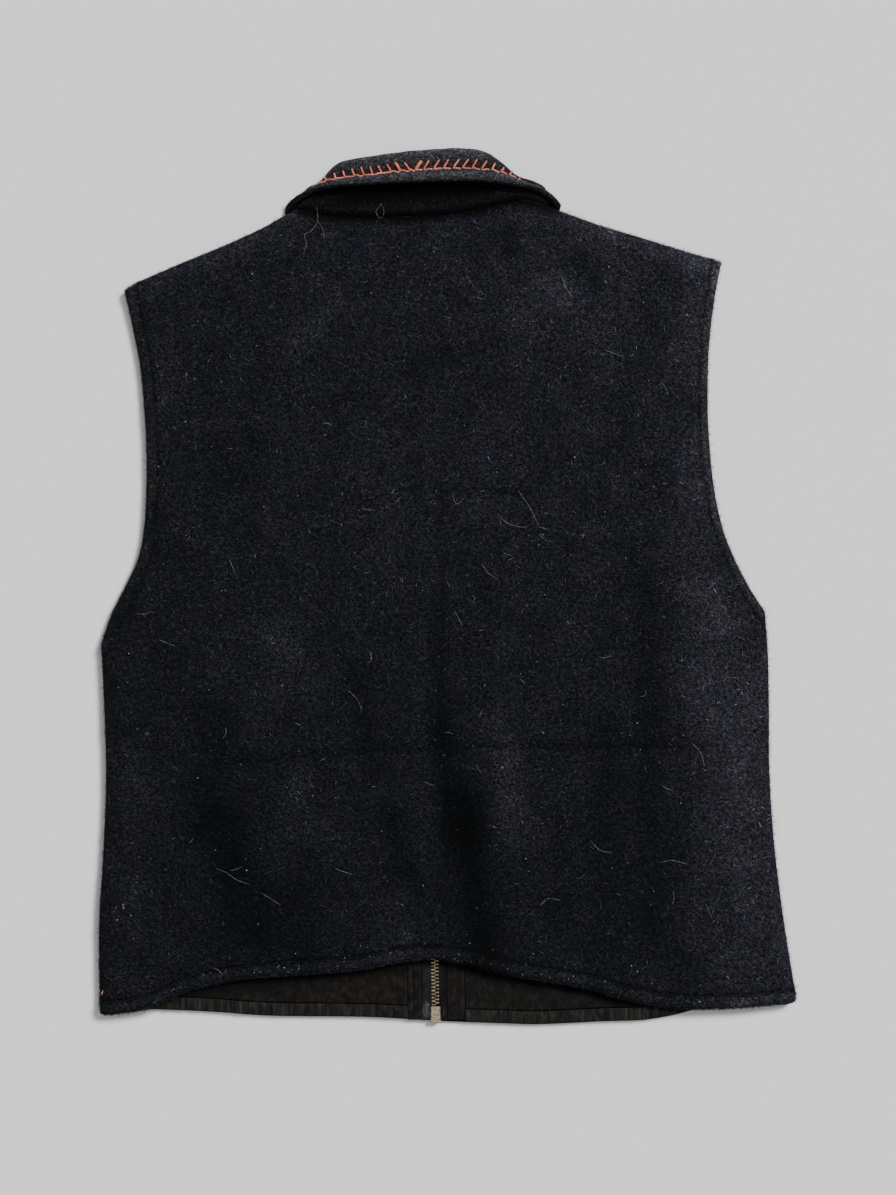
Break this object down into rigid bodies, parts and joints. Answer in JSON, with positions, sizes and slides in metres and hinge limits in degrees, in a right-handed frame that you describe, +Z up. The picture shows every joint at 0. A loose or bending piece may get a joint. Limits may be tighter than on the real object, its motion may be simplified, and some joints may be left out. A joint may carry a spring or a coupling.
{
  "type": "vest",
  "caption": "Sleeveless wool vest with turn-down collar and zip front, lying flat on its front with the back upwards",
  "frame": {"origin": "middle of the vest's outline on the surface it lies on", "axes": "+Z up from the surface, out of the vest's back; +Y along the vest towards its collar; +X towards the wearer's right side"},
  "size_m": [0.5794, 0.7263, 0.0215],
  "materials": {
    "wool": "thick black wool cloth with a short nap",
    "lining": "worn dark grey-brown cotton",
    "zip_tape": "dark woven tape",
    "zip_metal": "worn dull brass"
  },
  "bodies": {
    "vest": {"back": "wool", "front_left": "wool", "front_right": "wool", "collar": "wool", "lining_left": "lining", "lining_right": "lining", "hem_band_left": "lining", "hem_band_right": "lining", "facing_left": "lining", "facing_right": "lining", "zip_tape_left": "zip_tape", "zip_tape_right": "zip_tape", "zip_box": "zip_metal", "zip_slider": "zip_metal"},
    "pull_tab": {"zip_tab": "zip_metal"}
  },
  "joints": [
    {"name": "tab_hinge", "type": "hinge", "parent": "vest", "child": "pull_tab", "pos_m": [-0.01972, 0.2275, 0.00525], "axis": [1, 0, 0], "range_deg": [0, 170]}
  ]
}
